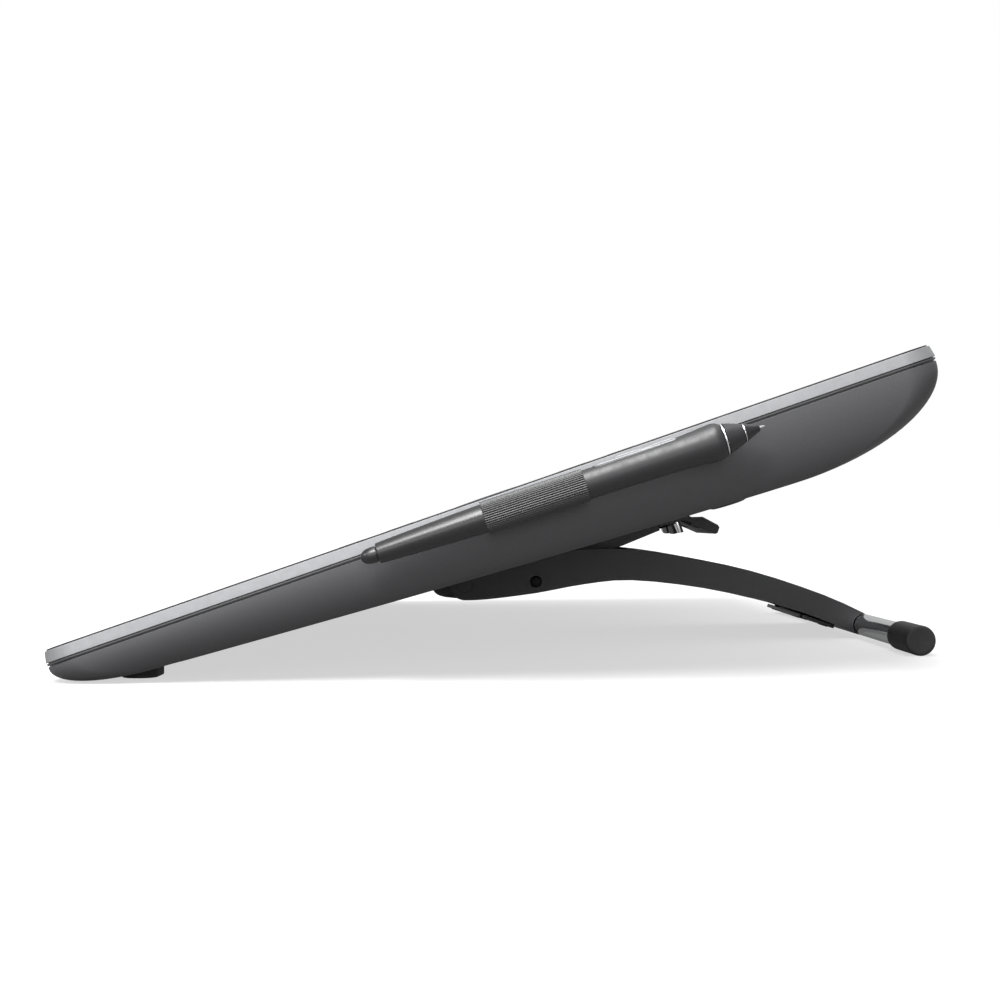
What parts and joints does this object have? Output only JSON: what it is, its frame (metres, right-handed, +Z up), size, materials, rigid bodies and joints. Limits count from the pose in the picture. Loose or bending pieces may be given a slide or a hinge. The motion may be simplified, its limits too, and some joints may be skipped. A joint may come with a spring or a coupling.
{
  "type": "pen display tablet",
  "caption": "Flat pen display tablet with a rounded rear cover, side keys and dials, on an arched folding stand, with a pen held in an elastic loop on its right side.",
  "frame": {"origin": "centre of the whole object's footprint, on the surface it stands on, at rest with the stand at its lowest setting", "axes": "+X to the tablet's right, where the pen is; +Y from the low front edge to the high rear edge; +Z up. The glass faces up and forward, tilted 19.1 degrees about X."},
  "size_m": [0.6492, 0.3842, 0.1327],
  "materials": {
    "etched_glass": "anti-glare etched, black behind",
    "satin_grey_metal": "satin anodised grey",
    "dark_plastic": "matte moulded",
    "grained_plastic": "fine moulded grain",
    "key_plastic": "satin moulded",
    "zinc_steel": "zinc plated",
    "chrome": "polished",
    "painted_casting": "dark grey powder coat on a light casting",
    "black_painted_steel": "black",
    "black_rubber": "matte",
    "circuit_board": "solder mask",
    "light_guide": "clear and white films",
    "lcd_glass": "dark panel",
    "elastic_webbing": "ribbed elastic",
    "pen_gloss": "semi-gloss moulded",
    "pen_satin": "soft-touch satin",
    "pen_silver": "polished ring"
  },
  "bodies": {
    "tablet": {"cover_glass": "etched_glass", "front_frame": "satin_grey_metal", "key_panel_right": "dark_plastic", "key_panel_left": "dark_plastic", "lcd_panel": "lcd_glass", "light_guide": "light_guide", "sensor_board": "circuit_board", "key_board_right": "circuit_board", "key_board_left": "circuit_board", "chassis": "dark_plastic", "back_cover": "grained_plastic", "port_bay": "dark_plastic", "port_sockets": "zinc_steel", "main_board": "circuit_board", "front_foot_right": "black_rubber", "front_foot_left": "black_rubber", "rear_foot_right": "black_rubber", "rear_foot_left": "black_rubber", "pen_loop": "elastic_webbing", "loop_anchor": "zinc_steel", "mount_plate": "zinc_steel", "stand_base": "painted_casting", "lever_pin": "zinc_steel", "lever_spring": "zinc_steel", "mount_screw_1": "black_painted_steel", "mount_screw_2": "black_painted_steel", "mount_screw_3": "black_painted_steel", "mount_screw_4": "black_painted_steel"},
    "stand": {"stand_arm": "painted_casting", "hinge_shaft": "zinc_steel", "arm_side_screw_right": "zinc_steel", "arm_side_screw_left": "zinc_steel", "rod_clamp": "zinc_steel", "foot_rod": "chrome", "foot_cap_right": "black_rubber", "foot_cap_left": "black_rubber"},
    "lever": {"release_lever": "dark_plastic"},
    "release_link": {"brake_shoe": "black_rubber", "pull_rod": "black_painted_steel"},
    "pen": {"pen_tail": "pen_gloss", "pen_barrel": "pen_satin", "pen_tail_cap": "pen_gloss", "pen_ring": "pen_silver", "pen_cone": "pen_satin", "pen_tip": "pen_satin", "pen_board": "circuit_board", "pen_sensor": "zinc_steel"},
    "nib": {"pen_nib": "pen_gloss"},
    "side_button": {"pen_button": "key_plastic"},
    "right_dial": {"dial_right": "key_plastic"},
    "left_dial": {"dial_left": "key_plastic"},
    "power_key": {"power_button": "key_plastic"},
    "right_key_1": {"key_right_1": "key_plastic"},
    "right_key_2": {"key_right_2": "key_plastic"},
    "right_key_3": {"key_right_3": "key_plastic"},
    "right_key_4": {"key_right_4": "key_plastic"},
    "left_key_1": {"key_left_1": "key_plastic"},
    "left_key_2": {"key_left_2": "key_plastic"},
    "left_key_3": {"key_left_3": "key_plastic"},
    "left_key_4": {"key_left_4": "key_plastic"}
  },
  "joints": [
    {"name": "stand_hinge", "type": "hinge", "parent": "tablet", "child": "stand", "pos_m": [-0.00865, -0.03178, 0.0288], "axis": [-1, 0, 0], "range_deg": [0, 87]},
    {"name": "lever_hinge", "type": "hinge", "parent": "tablet", "child": "lever", "pos_m": [-0.00865, 0.08582, 0.06734], "axis": [1, 0, 0], "range_deg": [0, 12], "stiffness_Nm_per_rad": 0.002, "springref_deg": -17.19, "deforming": ["lever_spring"]},
    {"name": "release_slide", "type": "slide", "parent": "tablet", "child": "release_link", "axis": [0, 0.9605, 0.2783], "range_m": [0, 0.00104], "stiffness_N_per_m": 500, "springref_m": -0.0004},
    {"name": "pen_slide", "type": "slide", "parent": "tablet", "child": "pen", "axis": [0, 0.9499, 0.3125], "range_m": [0, 0.12]},
    {"name": "nib_slide", "type": "slide", "parent": "pen", "child": "nib", "axis": [0, -0.9499, -0.3125], "range_m": [0, 0.0006], "stiffness_N_per_m": 3000, "springref_m": -0.0002},
    {"name": "side_button_rock", "type": "hinge", "parent": "pen", "child": "side_button", "pos_m": [0.31735, 0.04223, 0.09023], "axis": [1, 0, 0], "range_deg": [-1.2, 1.2], "stiffness_Nm_per_rad": 0.1},
    {"name": "right_dial_turn", "type": "hinge", "parent": "tablet", "child": "right_dial", "pos_m": [0.28665, -0.01817, 0.07269], "axis": [0, -0.3272, 0.9449], "continuous": true},
    {"name": "right_key_1_press", "type": "slide", "parent": "tablet", "child": "right_key_1", "axis": [0, 0.3272, -0.9449], "range_m": [0, 0.0008], "stiffness_N_per_m": 600, "springref_m": -0.0005},
    {"name": "right_key_2_press", "type": "slide", "parent": "tablet", "child": "right_key_2", "axis": [0, 0.3272, -0.9449], "range_m": [0, 0.0008], "stiffness_N_per_m": 600, "springref_m": -0.0005},
    {"name": "right_key_3_press", "type": "slide", "parent": "tablet", "child": "right_key_3", "axis": [0, 0.3272, -0.9449], "range_m": [0, 0.0008], "stiffness_N_per_m": 600, "springref_m": -0.0005},
    {"name": "right_key_4_press", "type": "slide", "parent": "tablet", "child": "right_key_4", "axis": [0, 0.3272, -0.9449], "range_m": [0, 0.0008], "stiffness_N_per_m": 600, "springref_m": -0.0005},
    {"name": "left_dial_turn", "type": "hinge", "parent": "tablet", "child": "left_dial", "pos_m": [-0.30395, -0.01817, 0.07269], "axis": [0, -0.3272, 0.9449], "continuous": true},
    {"name": "left_key_1_press", "type": "slide", "parent": "tablet", "child": "left_key_1", "axis": [0, 0.3272, -0.9449], "range_m": [0, 0.0008], "stiffness_N_per_m": 600, "springref_m": -0.0005},
    {"name": "left_key_2_press", "type": "slide", "parent": "tablet", "child": "left_key_2", "axis": [0, 0.3272, -0.9449], "range_m": [0, 0.0008], "stiffness_N_per_m": 600, "springref_m": -0.0005},
    {"name": "left_key_3_press", "type": "slide", "parent": "tablet", "child": "left_key_3", "axis": [0, 0.3272, -0.9449], "range_m": [0, 0.0008], "stiffness_N_per_m": 600, "springref_m": -0.0005},
    {"name": "left_key_4_press", "type": "slide", "parent": "tablet", "child": "left_key_4", "axis": [0, 0.3272, -0.9449], "range_m": [0, 0.0008], "stiffness_N_per_m": 600, "springref_m": -0.0005},
    {"name": "power_press", "type": "slide", "parent": "tablet", "child": "power_key", "axis": [0, 0.3272, -0.9449], "range_m": [0, 0.0008], "stiffness_N_per_m": 600, "springref_m": -0.0005}
  ],
  "couplings": [
    {"joint": "lever_hinge", "follows": "release_slide", "rad_per_m": 200}
  ]
}
